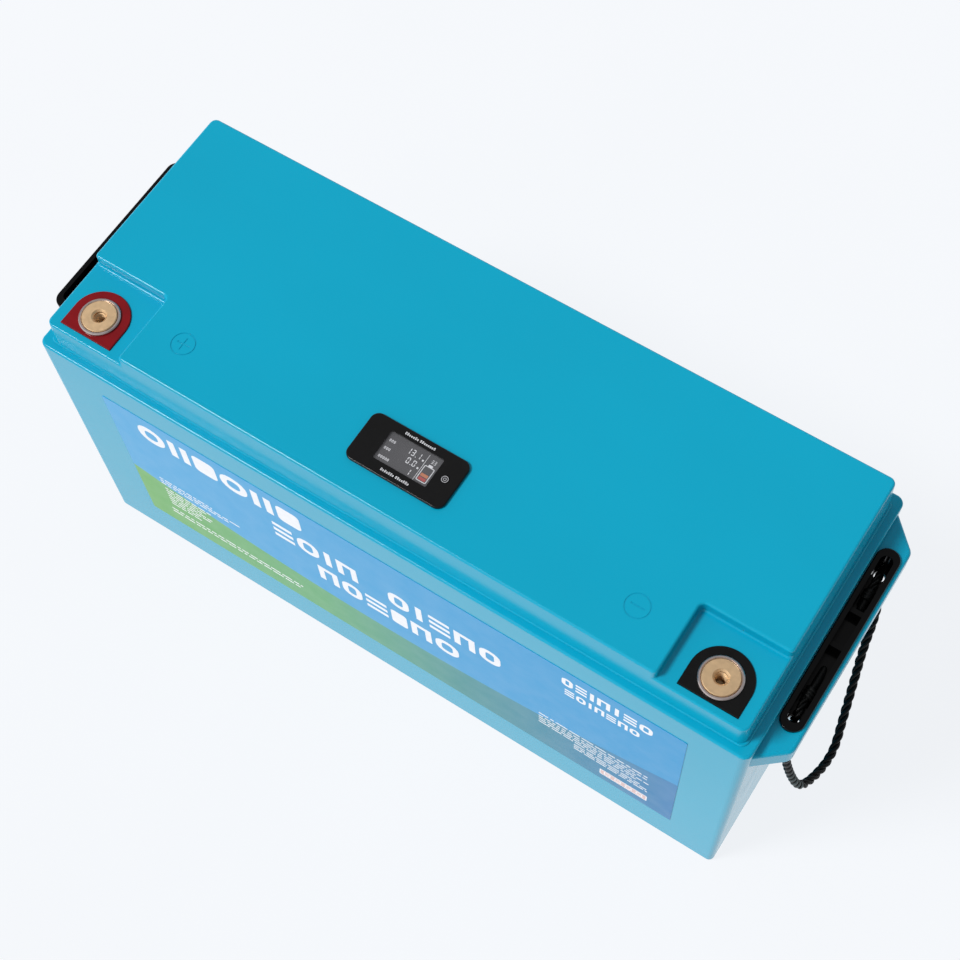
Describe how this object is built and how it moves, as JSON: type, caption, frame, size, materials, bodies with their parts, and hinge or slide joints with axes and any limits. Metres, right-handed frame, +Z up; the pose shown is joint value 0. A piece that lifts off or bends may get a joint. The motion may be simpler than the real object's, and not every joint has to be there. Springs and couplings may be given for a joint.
{
  "type": "deep cycle battery",
  "caption": "Tall narrow drop-in leisure battery with recessed corner terminals, a small level display and rope lifting handles at both ends.",
  "frame": {"origin": "middle of the underside of the case", "axes": "+X along the length towards the negative terminal, +Y towards the plain long wall at the back, +Z up out of the lid"},
  "size_m": [0.519, 0.1702, 0.2402],
  "materials": {
    "case_plastic": "moulded ABS, light blue, fine satin",
    "lid_plastic": "moulded ABS, blue, satin",
    "label_film": null,
    "red_plastic": "moulded red",
    "black_plastic": "moulded black",
    "display_plastic": "black, gloss",
    "black_rubber": "soft seal",
    "collar_metal": "tin-plated ring, satin",
    "terminal_brass": "nickel-washed brass, turned",
    "plated_steel": "zinc plated",
    "clear_window": "clear, glossy",
    "lcd_panel": "grey liquid crystal panel",
    "circuit_board": "solder mask green",
    "rope_fibre": "black twisted polypropylene",
    "cell_case": "aluminium can in blue film",
    "cell_post": "bare aluminium",
    "copper": "tinned copper",
    "insulation_board": "epoxy glass board",
    "foam": "closed-cell foam",
    "heat_sink": "extruded aluminium",
    "socket_plastic": "white nylon",
    "cable_jacket": "silicone jacket"
  },
  "bodies": {
    "root": {"bms_board": "circuit_board", "bms_heat_sink": "heat_sink", "bms_mosfets": "black_plastic", "bms_screws": "plated_steel", "bms_sockets": "socket_plastic", "bms_standoffs": "plated_steel", "busbar_1_2": "copper", "busbar_2_3": "copper", "busbar_3_4": "copper", "busbar_nuts": "plated_steel", "cable_lugs": "copper", "case": "case_plastic", "cell_1": "cell_case", "cell_2": "cell_case", "cell_3": "cell_case", "cell_4": "cell_case", "cell_posts": "cell_post", "cell_spacers": "insulation_board", "display_bezel": "display_plastic", "display_board": "circuit_board", "display_cable": "black_rubber", "display_gasket": "black_rubber", "display_lcd": "lcd_panel", "display_switch": "plated_steel", "display_window": "clear_window", "end_plate_left": "insulation_board", "end_plate_right": "insulation_board", "foam_back": "foam", "foam_base": "foam", "foam_front": "foam", "front_label": "label_film", "handle_tray_left": "black_plastic", "handle_tray_right": "black_plastic", "lid": "lid_plastic", "lid_seal": "black_rubber", "negative_cable_cells": "cable_jacket", "negative_cable_pole": "cable_jacket", "pack_bands": "plated_steel", "positive_strap": "copper", "rope_ends_left": "rope_fibre", "rope_ends_right": "rope_fibre", "row_divider": "insulation_board", "sense_harness": "cable_jacket", "temperature_probe": "black_rubber", "terminal_bushing_negative": "terminal_brass", "terminal_bushing_positive": "terminal_brass", "terminal_collar_negative": "collar_metal", "terminal_collar_positive": "collar_metal", "terminal_nut_negative": "plated_steel", "terminal_nut_positive": "plated_steel", "terminal_pad_negative": "black_plastic", "terminal_pad_positive": "red_plastic", "terminal_seal_negative": "black_rubber", "terminal_seal_positive": "black_rubber"},
    "button": {"display_button": "display_plastic"},
    "rope_left": {"rope_loop_left": "rope_fibre"},
    "rope_right": {"rope_loop_right": "rope_fibre"}
  },
  "joints": [
    {"name": "button_press", "type": "slide", "parent": "root", "child": "button", "axis": [0, 0, -1], "range_m": [0, 0.0004], "stiffness_N_per_m": 800},
    {"name": "rope_swing_left", "type": "hinge", "parent": "root", "child": "rope_left", "pos_m": [-0.2342, 0, 0.1844], "axis": [0, 1, 0], "range_deg": [-15, 80]},
    {"name": "rope_swing_right", "type": "hinge", "parent": "root", "child": "rope_right", "pos_m": [0.2342, 0, 0.1844], "axis": [0, -1, 0], "range_deg": [-15, 80]}
  ]
}
